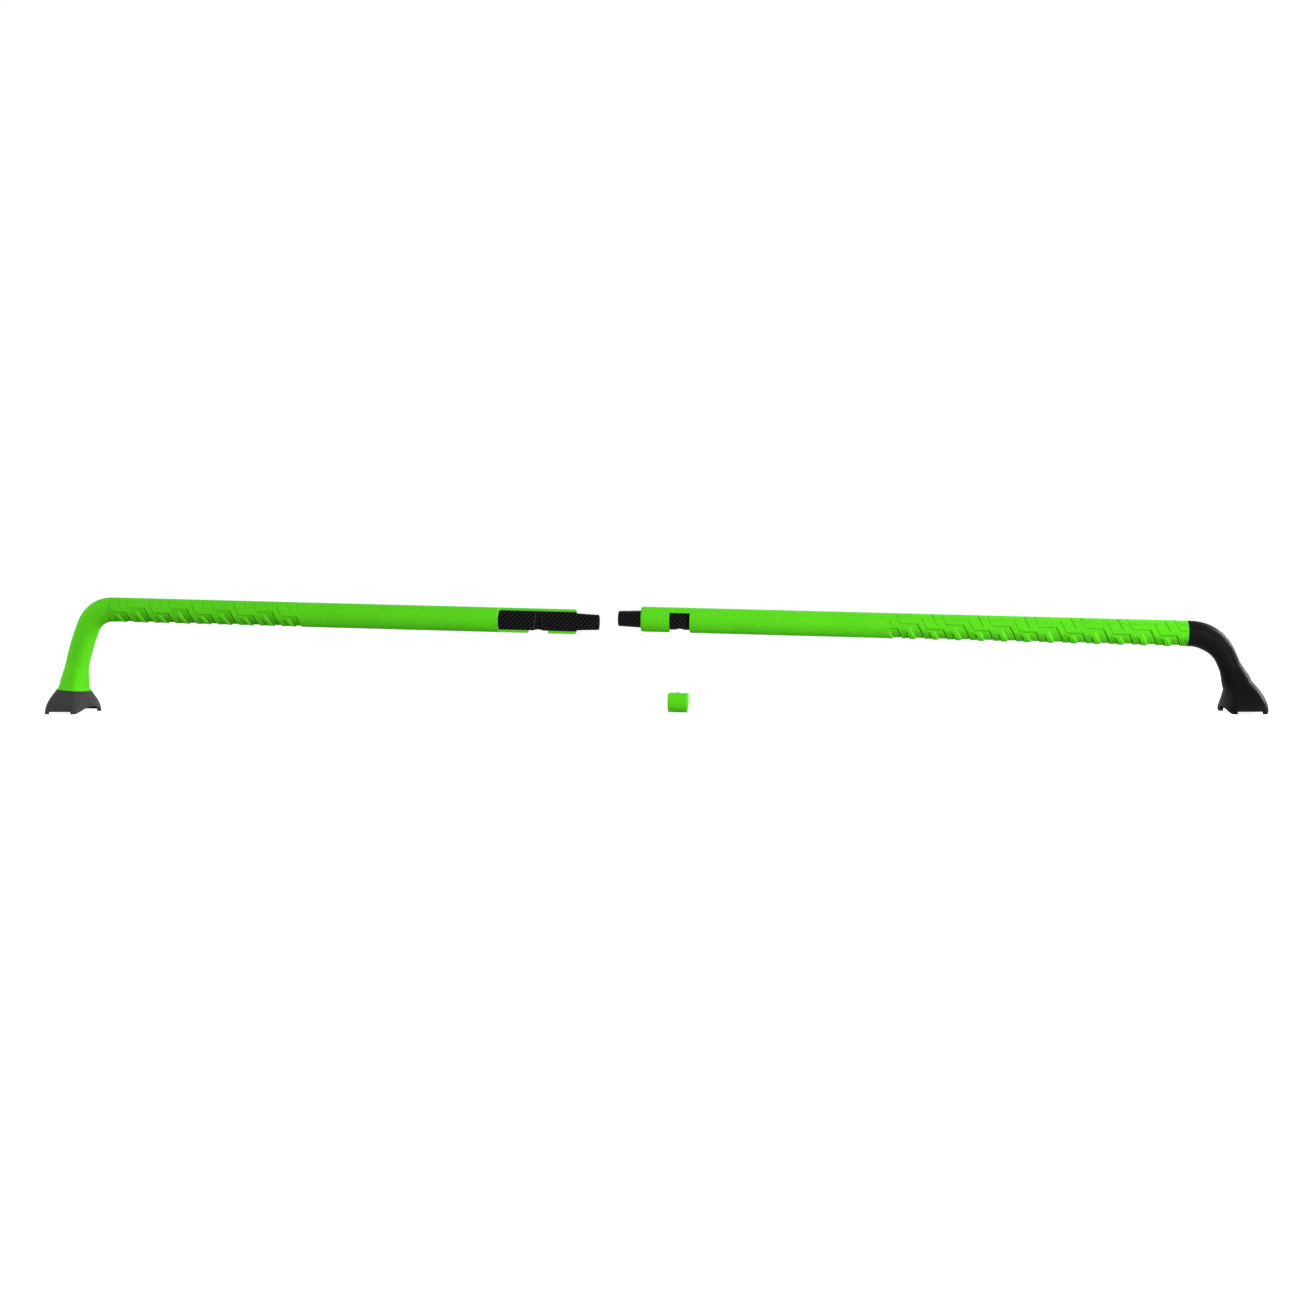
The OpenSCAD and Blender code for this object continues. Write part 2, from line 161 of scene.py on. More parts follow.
def make_room(obj, reach):
    """Dissolves the lines that cuts left almost along the selected edges, and moves close points away."""
    shape = bmesh.from_edit_mesh(obj.data)
    rim = {line for line in shape.edges if line.select}
    others = [line for line in shape.edges if line not in rim]
    flat = [line for line in others if line.calc_face_angle(math.pi) < FLAT_ENOUGH]
    loose = [line for line in flat if runs_along(line, rim)]
    bpy.ops.mesh.select_all(action="DESELECT")
    for line in loose:
        line.select_set(True)
    bmesh.update_edit_mesh(obj.data)
    if loose:
        bpy.ops.mesh.dissolve_edges(use_verts=False)
    edge_points = {point for line in rim if line.is_valid for point in line.verts}
    for point in shape.verts:
        if point not in edge_points:
            step_back(point, edge_points, reach)
    bmesh.update_edit_mesh(obj.data)


def step_back(point, edge_points, reach):
    """Slides a point that lies too close to the selected edges on along its own line, away from them."""
    for line in point.link_edges:
        start = line.other_vert(point)
        short = reach - line.calc_length()
        if start not in edge_points or short <= 0:
            continue
        on = (point.co - start.co).normalized()
        ways = [other.other_vert(point).co - point.co for other in point.link_edges if other is not line]
        best = max(ways, key=lambda way: way.normalized().dot(on))
        point.co += best.normalized() * min(short, best.length / 2)
        return


def soften(obj, width, keep=lambda middle: True, angle=40, segments=3, slot=-1):
    """Rounds the outer sharp edges whose middle passes the test. The new faces can get a material slot."""
    if select_outer(obj, keep, angle):
        make_room(obj, 2 * width)
    leave()
    count = select_outer(obj, keep, angle)
    if count:
        bpy.ops.mesh.bevel(offset=width, segments=segments, affect="EDGES", material=slot,
                           clamp_overlap=False, loop_slide=False)
    leave()
    return count


def smooth(obj, angle=35):
    """Smooth shading, where large faces set the normals that they share with a narrow rounded edge."""
    pick(obj)
    bpy.ops.object.shade_smooth_by_angle(angle=math.radians(angle))
    return apply_modifier(obj, "WEIGHTED_NORMAL", keep_sharp=True)


def copy_of(cad_name, name):
    """A copy of a CAD node's mesh to work on, with its triangles merged into whole flat faces."""
    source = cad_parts[cad_name]
    obj = bpy.data.objects.new(name, source.data.copy())
    obj.data.materials.clear()
    bpy.context.scene.collection.objects.link(obj)
    edit(obj)
    bpy.ops.mesh.select_all(action="SELECT")
    bpy.ops.mesh.remove_doubles(threshold=0.002 * MM)
    bpy.ops.mesh.dissolve_limited(angle_limit=math.radians(0.5))
    leave()
    return obj


def finish_piece(obj, material, body, slot, *nodes):
    """Gives a piece its finish, hangs it on its body and lets it stand for its CAD nodes."""
    if not any(obj.data.materials):
        obj.data.materials.clear()
        obj.data.materials.append(material)
    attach(obj, body)
    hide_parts(*nodes)
    size = [round(v / MM, 1) for v in obj.dimensions]
    faces = sum(len(p.vertices) - 2 for p in obj.data.polygons)
    print(obj.name, "size in mm", size, "triangles", faces)
    return obj


def finish_foam(obj, material, body, cad_name):
    """Finishes a foam piece on its rigid core, as finish_piece does."""
    finish_piece(obj, material, body, "grip_foam", cad_name)


print("helpers ready")

# %% [markdown]
# ## Colours and nodes
#
# Colours are written as they look on a screen, as sRGB hex values, and Blender's shaders want linear
# light, so one function converts them. A second small function adds one shader node with its options and
# its links.

# %% Colour and node helpers
def colour(hex_text):
    parts = [int(hex_text[i:i + 2], 16) / 255 for i in (1, 3, 5)]
    return [p / 12.92 if p <= 0.04045 else ((p + 0.055) / 1.055) ** 2.4 for p in parts] + [1]


def node(tree, kind, inputs=None, **options):
    made = tree.nodes.new("ShaderNode" + kind)
    for option, value in options.items():
        setattr(made, option, value)
    for name, value in (inputs or {}).items():
        if isinstance(value, bpy.types.NodeSocket):
            tree.links.new(value, made.inputs[name])
        else:
            made.inputs[name].default_value = value
    return made


def blank_material(name):
    material = bpy.data.materials.new(name)
    material.use_nodes = True
    material.node_tree.nodes.clear()
    return material, material.node_tree


print("green foam in linear light:", [round(v, 3) for v in colour("#5CD61F")])

# %% [markdown]
# ## EVA foam
#
# The grips are moulded EVA foam: closed cells under a thin matte skin. To the eye that is a strong, even
# colour with no gloss and a very fine grain. A flat colour would look like paint, so grain goes into the
# bump and the colour drifts a little along the bar. The real grain is about 0.3 mm, too fine for the
# picture, so it is drawn at 2 mm. Shade in the mould's grooves and hollows is painted in as a darker
# green, and a painted highlight as a paler green near one edge of each rib. How much of each a point gets
# is kept
# on the mesh as a point attribute: above 0 painted shade, below 0 painted highlight.

# %% EVA foam
GRAIN = 2.0 * MM
DRIFT = 45 * MM


def eva_foam(name, painted_highlight_hex, light_hex, painted_shade_hex):
    material, tree = blank_material(name)
    place = node(tree, "TexCoord").outputs["Object"]
    grain = node(tree, "TexNoise", {"Vector": place, "Scale": 1 / GRAIN, "Detail": 3.0, "Roughness": 0.6})
    drift = node(tree, "TexNoise", {"Vector": place, "Scale": 1 / DRIFT, "Detail": 2.0})
    # The point attribute holds painted shade above 0 and painted highlight below 0; the paler and darker
    # greens mixed in below are that painted highlight and painted shade.
    painted_shading = node(tree, "Attribute", attribute_name="painted_shading").outputs["Fac"]
    painted_highlight = node(tree, "MapRange", {"Value": painted_shading, "From Min": 0.0, "From Max": -1.0})
    shade = node(tree, "MapRange", {"Value": grain.outputs["Fac"], "From Min": 0.3, "From Max": 0.7,
                                    "To Min": 0.88, "To Max": 1.1})
    slow = node(tree, "MapRange", {"Value": drift.outputs["Fac"], "From Min": 0.3, "From Max": 0.7,
                                   "To Min": 0.97, "To Max": 1.03})
    both = node(tree, "Math", {0: shade.outputs[0], 1: slow.outputs[0]}, operation="MULTIPLY")
    tint_with_painted_highlight = node(tree, "Mix", {0: painted_highlight.outputs[0], 6: colour(light_hex), 7: colour(painted_highlight_hex)},
                     data_type="RGBA")
    tint = node(tree, "Mix", {0: painted_shading, 6: tint_with_painted_highlight.outputs[2], 7: colour(painted_shade_hex)},
                data_type="RGBA")
    base = node(tree, "VectorMath", {0: tint.outputs[2], "Scale": both.outputs[0]}, operation="SCALE")
    bump = node(tree, "Bump", {"Height": grain.outputs["Fac"], "Strength": 0.9, "Distance": 0.3 * MM})
    skin = node(tree, "BsdfPrincipled", {"Base Color": base.outputs["Vector"], "Normal": bump.outputs[0],
                                         "Roughness": 0.85, "IOR": 1.45, "Specular IOR Level": 0.08})
    node(tree, "OutputMaterial", {"Surface": skin.outputs[0]})
    return material


# 78EE34 is the painted highlight, #5AD51C the foam's own green and #0F4C02 the painted shade.
green_foam = eva_foam("eva_foam_green", "#78EE34", "#5AD51C", "#0F4C02")
print("foam material:", green_foam.name)

# %% [markdown]
# ## Carbon twill
#
# The spigots are moulded from carbon cloth in clear resin. The cloth is a 2/2 twill: each yarn, or tow,
# passes over two and under two, one step further along each time, which gives fine diagonal stripes. An
# image would show it, but a few maths nodes do too and stay sharp: count the tows both ways, add, and
# take the sum in fours. The tows are 1.3 mm wide. A map called "weave" holds millimetres along and round
# each spigot, so the stripes follow the curve.

# %% Carbon twill
TOW = 1.3


def carbon_twill(name):
    material, tree = blank_material(name)
    weave = node(tree, "UVMap", uv_map="weave").outputs[0]
    tows = node(tree, "VectorMath", {0: weave, 1: (1 / TOW, 1 / TOW, 0)}, operation="MULTIPLY")
    counted = node(tree, "VectorMath", {0: tows.outputs[0]}, operation="FLOOR")
    across = node(tree, "VectorMath", {0: tows.outputs[0]}, operation="FRACTION")
    counts = node(tree, "SeparateXYZ", {0: counted.outputs[0]})
    inside = node(tree, "SeparateXYZ", {0: across.outputs[0]})
    total = node(tree, "Math", {0: counts.outputs["X"], 1: counts.outputs["Y"]}, operation="ADD")
    step = node(tree, "Math", {0: total.outputs[0], 1: 4.0}, operation="FLOORED_MODULO")
    over = node(tree, "Math", {0: step.outputs[0], 1: 1.5}, operation="LESS_THAN")
    side = node(tree, "Mix", {0: over.outputs[0], 2: inside.outputs["X"], 3: inside.outputs["Y"]},
                data_type="FLOAT")
    offset = node(tree, "Math", {0: side.outputs[0], 1: 0.5}, operation="SUBTRACT")
    square = node(tree, "Math", {0: offset.outputs[0], 1: offset.outputs[0]}, operation="MULTIPLY")
    hump = node(tree, "MapRange", {"Value": square.outputs[0], "From Max": 0.25, "To Min": 1.0,
                                   "To Max": 0.0})
    tint = node(tree, "Mix", {0: over.outputs[0], 6: colour("#272728"), 7: colour("#010101")},
                data_type="RGBA")
    edge = node(tree, "MapRange", {"Value": hump.outputs[0], "To Min": 0.55, "To Max": 1.0})
    base = node(tree, "VectorMath", {0: tint.outputs[2], "Scale": edge.outputs[0]}, operation="SCALE")
    rough = node(tree, "MapRange", {"Value": over.outputs[0], "To Min": 0.34, "To Max": 0.5})
    bump = node(tree, "Bump", {"Height": hump.outputs[0], "Strength": 0.25, "Distance": 0.12 * MM})
    skin = node(tree, "BsdfPrincipled", {"Base Color": base.outputs["Vector"], "Normal": bump.outputs[0],
                                         "Roughness": rough.outputs[0], "IOR": 1.5,
                                         "Specular IOR Level": 0.02})
    node(tree, "OutputMaterial", {"Surface": skin.outputs[0]})
    return material


carbon = carbon_twill("carbon_twill_in_epoxy")
print("twill repeats every", 4 * TOW, "mm")

# %% [markdown]
# ## Moulded nylon, clip plastic, brass and core foam
#
# The ends are glass-filled nylon, moulded in a spark-eroded tool: dark, with a soft sheen and a fine even
# grain. The clip is a softer moulded plastic in the foam's green. These finishes differ only in colour,
# gloss and grain, so one recipe makes them, each with its own numbers. The grain is really about 0.1 mm
# and is drawn at 0.7 mm so that it shows. Brass keeps the metal's default IOR and gets turning marks
# round its axis.

# %% Moulded plastics and the inner pieces
FLOW, TURNING = 30 * MM, 3 * MM


def moulded(name, dark_hex, light_hex, roughness, grain, bump_depth, specular):
    material, tree = blank_material(name)
    place = node(tree, "TexCoord").outputs["Object"]
    speck = node(tree, "TexNoise", {"Vector": place, "Scale": 1 / grain, "Detail": 3.0, "Roughness": 0.55})
    flow = node(tree, "TexNoise", {"Vector": place, "Scale": 1 / FLOW, "Detail": 2.0})
    blend = node(tree, "Math", {0: speck.outputs["Fac"], 1: flow.outputs["Fac"]}, operation="MULTIPLY")
    share = node(tree, "MapRange", {"Value": blend.outputs[0], "From Min": 0.12, "From Max": 0.4})
    tint = node(tree, "Mix", {0: share.outputs[0], 6: colour(dark_hex), 7: colour(light_hex)},
                data_type="RGBA")
    rough = node(tree, "MapRange", {"Value": speck.outputs["Fac"], "From Min": 0.3, "From Max": 0.7,
                                    "To Min": roughness - 0.05, "To Max": roughness + 0.05})
    bump = node(tree, "Bump", {"Height": speck.outputs["Fac"], "Strength": 0.3, "Distance": bump_depth})
    skin = node(tree, "BsdfPrincipled", {"Base Color": tint.outputs[2], "Roughness": rough.outputs[0],
                                         "Normal": bump.outputs[0], "IOR": 1.53,
                                         "Specular IOR Level": specular})
    node(tree, "OutputMaterial", {"Surface": skin.outputs[0]})
    return material


def turned_brass(name):
    material, tree = blank_material(name)
    place = node(tree, "TexCoord").outputs["Object"]
    marks = node(tree, "TexWave", {"Vector": place, "Scale": 1 / TURNING, "Distortion": 0.4},
                 wave_type="BANDS", bands_direction="Z")
    rough = node(tree, "MapRange", {"Value": marks.outputs["Fac"], "To Min": 0.28, "To Max": 0.42})
    bump = node(tree, "Bump", {"Height": marks.outputs["Fac"], "Strength": 0.2, "Distance": 0.05 * MM})
    skin = node(tree, "BsdfPrincipled", {"Base Color": colour("#C9A14A"), "Metallic": 1.0,
                                         "Roughness": rough.outputs[0], "Normal": bump.outputs[0]})
    node(tree, "OutputMaterial", {"Surface": skin.outputs[0]})
    return material


grey_nylon = moulded("glass_filled_nylon_grey", "#363636", "#424242", 0.6, 0.7 * MM, 0.05 * MM, 0.06)
black_nylon = moulded("glass_filled_nylon_black", "#0F0F0F", "#171717", 0.45, 0.7 * MM, 0.04 * MM, 0.02)
clip_plastic = moulded("moulded_elastomer_green", "#50CC0C", "#5CDC12", 0.5, 0.8 * MM, 0.04 * MM, 0.12)
key_plastic = moulded("moulded_nylon_green", "#49BE0C", "#54CE12", 0.45, 0.8 * MM, 0.03 * MM, 0.12)
core_foam = moulded("closed_cell_core_foam", "#D8D2C2", "#EAE5D8", 0.85, 1.2 * MM, 0.3 * MM, 0.2)
# A lighter grey for the spigots' eased edges: a painted highlight along the edges.
edge_highlight_paint = moulded("epoxy_edge_painted_highlight", "#3A3A3A", "#525252", 0.55, 0.5 * MM, 0.03 * MM, 0.1)
brass = turned_brass("turned_brass")
print("plastics:", grey_nylon.name, black_nylon.name, clip_plastic.name)

# %% [markdown]
# ## The two bars
#
# Each half is a straight bar that falls 1.8 degrees towards the rear. Working along a sloping bar in
# world coordinates is awkward, so each half gets its own frame: its origin is where the clip sits, x runs
# outwards along the bar, and z is square to it. The front half is the same frame turned half round,
# because the halves are made alike. A ring of the bar is then always a plain circle.

# %% Frames of the halves
GRIP_R, BORE_R = 14, 11.05
SLOPE = math.radians(1.8)
FRONT_SEAT_X, REAR_SEAT_X, JOINT_Z = -113.986, 47.014, 103.5
FRONT_SMOOTH, REAR_SMOOTH = 272, 230.5
FRONT_RIBBED, REAR_RIBBED = 225, 323


def half_frame(seat_x, turn):
    place = Matrix.Translation((seat_x * MM, 0, JOINT_Z * MM))
    return place @ Matrix.Rotation(SLOPE, 4, "Y") @ Matrix.Rotation(turn, 4, "Z")


FRONT = half_frame(FRONT_SEAT_X, math.pi)
REAR = half_frame(REAR_SEAT_X, 0)


def to_world(half, points_mm):
    frame_rows = np.array(half)
    return np.asarray(points_mm) * MM @ frame_rows[:3, :3].T + frame_rows[:3, 3]


def in_half(half, point):
    return half.inverted() @ point / MM


for half_name, half in (("front", FRONT), ("rear", REAR)):
    print(half_name, "clip seat in mm:", [round(v / MM, 1) for v in half.translation])

# %% [markdown]
# ## A tube cut into rings
#
# Grips, legs and feet are all long skins of rings. By hand, one adds a cylinder without ends, cuts it
# across many times, and moves each ring to its place. Subdividing the edge ring of the long edges does
# all the cuts at once. The function returns, for each point, which side of the tube and which ring it is
# on, and the piece's own rule then says where that point goes.

# %% Ringed tube
def ringed_tube(name, sides, rings):
    bpy.ops.object.select_all(action="DESELECT")
    bpy.ops.mesh.primitive_cylinder_add(vertices=sides, radius=1, depth=1, end_fill_type="NOTHING")
    obj = bpy.context.object
    obj.name = name
    edit(obj, "EDGE")
    bpy.ops.mesh.select_all(action="DESELECT")
    shape = bmesh.from_edit_mesh(obj.data)
    for line in shape.edges:
        line.select_set(abs(line.verts[0].co.z - line.verts[1].co.z) > 0.5)
    bmesh.update_edit_mesh(obj.data)
    bpy.ops.mesh.subdivide_edgering(number_cuts=rings - 2, interpolation="LINEAR")
    leave()
    at = np.empty(3 * len(obj.data.vertices))
    obj.data.vertices.foreach_get("co", at)
    at = at.reshape(-1, 3)
    turn = np.arctan2(at[:, 1], at[:, 0])
    return obj, turn, np.rint((at[:, 2] + 0.5) * (rings - 1)).astype(int)


def move_points(obj, world):
    obj.data.vertices.foreach_set("co", np.ascontiguousarray(world, np.float32).ravel())
    obj.data.update()
    return obj


def close_bore(obj, half):
    """Turns both open ends of a skin inwards to the tube and joins them along the bore."""
    edit(obj, "EDGE")
    bpy.ops.mesh.select_all(action="DESELECT")
    bpy.ops.mesh.select_non_manifold()
    bpy.ops.mesh.extrude_edges_move()
    shape = bmesh.from_edit_mesh(obj.data)
    for vert in shape.verts:
        if vert.select:
            along, y, up = in_half(half, vert.co)
            shrink = BORE_R / math.hypot(y, up)
            vert.co = half @ (Vector((along, y * shrink, up * shrink)) * MM)
    bmesh.update_edit_mesh(obj.data)
    bpy.ops.mesh.bridge_edge_loops()
    leave()
    return clean(obj, WELD)


print("rings ready")

# %% [markdown]
# ## The ribbed hand grips
#
# This is the part of the boom that the hand holds, and its relief is what one sees first. Every 25 mm a
# finger-wide rib leans across the underside, long and short by turns. Before each rib run three fine
# teeth, behind it lies a smooth hollow, and a stepped line, level and then leaning, closes each hollow.
# Sculpting would give it, but every rib would differ. One rule for the height of the surface, in
# millimetres over the plain tube, gives the same mould to both halves. The rule works in a leaning
# coordinate, so that ribs and grooves are straight lines in it.

# %% Relief of the hand grips
PITCH_MM = 25
LEAN = math.tan(math.radians(27))
GROOVE, GROOVE_BACK = 15.5, 0.7
HOLLOW_DEPTH = 1.2
RIB_AT, RIB_HALF, RIB_PROUD = 2.1, 3.9, 0.4
TOP_LINE_AT, HIGH_LINE_UP = 10.8, 8.3
LINES = (-3.0, 2.6)
LEADS = (-2.3, -3.8)
RIB_TOPS = (-4.0, -0.2)
TEETH = (-7.9, -5.8, -3.8)
FRONT_RIB_AT, REAR_RIB_AT = 13.5, 25.2 - PITCH_MM
GRIP_SIDES, RING_STEP = 150, 0.62
FADE, LIP, LIP_DEPTH = 2.5, 0.9, 0.5
# shade sets how much painted shade the hollows get, more on the front half than on the rear.
FRONT_MOULD = {"teeth": 0.3, "crest": 0.75, "upper": 0.4, "hollow": 0.5, "shade": 0.35, "line": 0.6}
REAR_MOULD = {"teeth": 0.7, "crest": 0.1, "upper": 1.0, "hollow": 0.12, "shade": 0.1, "line": 1.0}


def ease(low, high, value):
    share = np.clip((value - low) / (high - low), 0, 1)
    return share * share * (3 - 2 * share)


def notch(distance, half_width):
    return np.clip(1 - np.abs(distance) / half_width, 0, 1) ** 1.2


def relief(along, up, mould):
    """Height over the plain grip, and how much painted shade a point gets, down to -1 for a painted
    highlight.

    along runs to the right from a short rib, and up is the height over the bar's axis. A rib is level
    across at crest 0 and falls away to the left of its right edge at crest 1. The numbers in ease and
    notch say where each mark starts, where it is full and how wide it is, in millimetres."""
    lean = along + LEAN * (up + GRIP_R)
    cell = np.floor((lean - GROOVE) / PITCH_MM) + 1
    within = lean - cell * PITCH_MM
    long_cell = np.mod(cell, 2) > 0.5
    line = np.where(long_cell, LINES[1], LINES[0])
    lead = np.where(long_cell, LEADS[1], LEADS[0])
    rib_top = np.where(long_cell, RIB_TOPS[1], RIB_TOPS[0])
    below = ease(line + 0.5, line - 0.5, up)
    depth = mould["hollow"] + (HOLLOW_DEPTH - mould["hollow"]) * ease(line, -GRIP_R, up)
    hollow = depth * below * ease(GROOVE - PITCH_MM + 0.5, RIB_AT + RIB_HALF, within)
    across = within - RIB_AT
    rib = ease(RIB_HALF + 0.2, RIB_HALF - 1.1, np.abs(across)) * ease(rib_top + 0.8, rib_top - 2.2, up)
    rib = rib * (1 - mould["crest"] * np.clip((RIB_HALF - across) / (2 * RIB_HALF), 0, 1))
    height = -hollow * (1 - rib) + RIB_PROUD * ease(-4, -12, up) * rib
    groove = notch(within - GROOVE + GROOVE_BACK, 1.0)
    groove = groove + notch(within - GROOVE + PITCH_MM + GROOVE_BACK, 1.0)
    teeth = sum(notch(within - tooth, 0.8) for tooth in TEETH) * ease(-4, -7, up)
    rib_edge = notch(across + RIB_HALF + 0.2, 0.9) * ease(-5.5, -8.5, up)
    pair = np.mod(lean, 2 * PITCH_MM)
    two = np.mod(lean + PITCH_MM, 2 * PITCH_MM) - PITCH_MM
    top_line = notch(two - TOP_LINE_AT, 0.9) * ease(0.5, 2.5, up) * ease(13.8, 12.5, up)
    lead_long = notch(pair - PITCH_MM - LEADS[1], 0.8) * ease(2.0, 2.8, up)
    lead_short = notch(two - LEADS[0], 0.9) * ease(-3.4, -2.6, up) * ease(10, 8.5, up)
    level = notch(up - line + 0.2, 0.8) * ease(lead - 0.6, lead + 0.2, within)
    upper = notch(up - HIGH_LINE_UP, 0.6) * ease(21, 23, pair) * ease(40, 38, pair)
    # Each mark cuts a groove; its last number is how much painted shade goes into that groove.
    marks = ((groove * below, 1.0, 1.0), (teeth, mould["teeth"], 0.8 * mould["teeth"]),
             (rib_edge, 0.9, 1.0), (top_line, 0.6 * mould["upper"], 0.7 * mould["upper"]),
             (lead_long, 0.5, 0.45 * mould["line"]), (lead_short, 0.55, 0.55),
             (level, 0.5, 0.6 * mould["line"]), (upper, 0.15, 0.15))
    # A painted highlight near one edge of each rib, and painted shade in the hollows, darker towards the
    # bottom.
    painted_highlight = notch(across - RIB_HALF + 1.7, 1.9) * ease(rib_top, rib_top - 2.5, up)
    painted_shading = mould["shade"] * hollow * (1 - rib) - painted_highlight
    for mark, cut_depth, shading_paint in marks:
        height = height - cut_depth * mark
        painted_shading = np.where(mark > 0.02, np.maximum(painted_shading, shading_paint * mark), painted_shading)
    return height, np.clip(painted_shading, -1, 1)


def hand_grip(name, half, start, length, first_rib, to_right, mould):
    rings = round(length / RING_STEP)
    obj, turn, ring = ringed_tube(name, GRIP_SIDES, rings)
    out = ring / (rings - 1) * length
    up = GRIP_R * np.sin(turn)
    along = to_right * (out - first_rib)
    fade = ease(0, FADE, out) * ease(length, length - FADE, out)
    height, shading_paint = relief(along, up, mould)
    height = height * fade - LIP_DEPTH * ease(length - LIP, length, out)
    radius = GRIP_R + height
    points = np.stack([start + out, radius * np.cos(turn), radius * np.sin(turn)], axis=1)
    move_points(obj, to_world(half, points))
    # The foam material reads this attribute as painted shade and painted highlight.
    painted_shading = obj.data.attributes.new("painted_shading", "FLOAT", "POINT")
    painted_shading.data.foreach_set("value", (shading_paint * fade).astype(np.float32))
    close_bore(obj, half)
    return smooth(obj, 60)


front_grip = hand_grip("front_ribbed_foam", FRONT, FRONT_SMOOTH, FRONT_RIBBED, FRONT_RIB_AT, -1,
                       FRONT_MOULD)
finish_foam(front_grip, green_foam, "front_half", "front_hand_grip")
rear_grip = hand_grip("rear_ribbed_foam", REAR, REAR_SMOOTH, REAR_RIBBED, REAR_RIB_AT, 1,
                      REAR_MOULD)
finish_foam(rear_grip, green_foam, "rear_half", "rear_hand_grip")

# %% [markdown]
# ## The smooth joint grips
#
# Next to the joint the foam is plain. Behind the lap it is a full sleeve on the bar. Over the lap only
# half of it goes on, because the other half of the joint brings the rest, and a window leaves room for
# the clip. It could be one outline pulled along the bar, but the steps are clearer as a maker would do
# them: a length of foam tube, half of it cut away over the lap, then the window cut out and the free
# edges rounded over.

# %% Joint grips
LAP_HALF = 44
END_GAP, LAP_GAP = 0.3, 0.3
WINDOW_HALF, WINDOW_TOP = 11.4, 7.8
FOAM_ROUND, FOAM_EASED = 2.2, 0.35
TUBE_SIDES, TUBE_STEP = 128, 4.8
FAR = 30


def foam_tube(name, half, start, end):
    rings = round((end - start) / TUBE_STEP) + 1
    obj, turn, ring = ringed_tube(name, TUBE_SIDES, rings)
    along = start + ring / (rings - 1) * (end - start)
    points = np.stack([along, GRIP_R * np.cos(turn), GRIP_R * np.sin(turn)], axis=1)
    move_points(obj, to_world(half, points))
    return apply_modifier(clean(obj, WELD), "SOLIDIFY", thickness=(GRIP_R - BORE_R) * MM, offset=-1)


def block(half, low, high):
    """A box between two corners of a half's frame, in millimetres."""
    bpy.ops.object.select_all(action="DESELECT")
    bpy.ops.mesh.primitive_cube_add(size=1)
    obj = bpy.context.object
    low, high = Vector(low) * MM, Vector(high) * MM
    obj.data.transform(half @ Matrix.Translation((low + high) / 2) @ Matrix.Diagonal((*(high - low), 1)))
    return obj


def joint_grip(name, half, smooth_end):
    obj = clean(foam_tube(name, half, END_GAP - LAP_HALF, smooth_end))
    cut(obj, block(half, (-2 * LAP_HALF, -LAP_GAP / 2, -FAR), (LAP_HALF, FAR, FAR)))
    clean(obj)
    cut(obj, block(half, (-WINDOW_HALF, -FAR, -FAR), (WINDOW_HALF, FAR, WINDOW_TOP)))
    clean(obj)

    def free_end(point):
        along, y, up = in_half(half, point)
        return along < END_GAP - LAP_HALF + 0.5 and math.hypot(y, up) > GRIP_R - 1.2

    def off_the_ribs(point):
        return in_half(half, point).x < smooth_end - 1

    rounded = soften(obj, FOAM_ROUND * MM, free_end, segments=5)
    eased = soften(obj, FOAM_EASED * MM, off_the_ribs, angle=60, segments=2)
    print(name, "edges rounded", rounded, "and eased", eased)
    return smooth(obj, 40)


front_joint = joint_grip("front_smooth_foam", FRONT, FRONT_SMOOTH)
finish_foam(front_joint, green_foam, "front_half", "front_joint_grip")
rear_joint = joint_grip("rear_smooth_foam", REAR, REAR_SMOOTH)
finish_foam(rear_joint, green_foam, "rear_half", "rear_joint_grip")

# %% [markdown]
# ## Bent legs and saddle feet
#
# Each end is a bent leg that is round at the bar and spreads into a long, hollow foot that sits across
# the wing's strut. Bending a cylinder would keep it round. Here the rings follow a centre line, and each
# ring passes from a circle to an oval with flat ends, so the leg flows into the foot without a seam. The
# same rule makes the foam sleeve on the front leg and the two moulded ends.

# %% Centre lines and sections of the legs
ARC, FLAT = 25, 4
CORNER, FLAT_TURN = 81.9, 16.2
BEND_RINGS = 25
FOOT_HALF = np.array((14.5, 24.5, 39.0))
NECK_HALF = np.array((29 / 6, 15.3, 21.0))
NECK_Z, WIDE_Z = 31, 24
FOOT_BOW, NECK_EASE = 2.25, np.array((1.4, 1.4, 1.7))
NARROW_FROM, NARROW_TO = 0.3, 1.1


def section_rule():
    """For each point round a section: its angle on the circle and its shares of the oval's sizes."""
    t = np.radians(np.linspace(-90, 90, ARC))
    inner = np.arange(1, FLAT) / FLAT
    arc = t * CORNER / 90
    flat_turn = CORNER + FLAT_TURN * inner
    angle = np.concatenate([arc, np.radians(flat_turn), math.pi - arc[::-1], np.radians(180 + flat_turn)])
    flat = np.concatenate([np.ones(ARC), 1 - 2 * inner, -np.ones(ARC), 2 * inner - 1])
    bow = np.concatenate([np.cos(t), 0 * inner, -np.cos(t), 0 * inner])
    wide = np.concatenate([np.sin(t), 0 * inner + 1, np.sin(t[::-1]), 0 * inner - 1])
    return angle, flat, bow, wide


ANGLE, FLAT_SHARE, BOW_SHARE, WIDE_SHARE = section_rule()
SIDES = len(ANGLE)


def foot_at(z):
    share = (1 - min(1, max(0, z) / NECK_Z) ** FOOT_BOW) ** NECK_EASE
    return NECK_HALF * (1 - share) + FOOT_HALF * share


def section(deep, wide, radius, half_sizes):
    """A ring on its way from a circle to the foot's oval, at one pace along the boom and one across it."""
    s0, s1, s2 = half_sizes
    x = (1 - deep) * radius * np.cos(ANGLE) + deep * (FLAT_SHARE * s0 + BOW_SHARE * (s1 - s0))
    y = (1 - wide) * radius * np.sin(ANGLE) + wide * WIDE_SHARE * s2
    return x, y


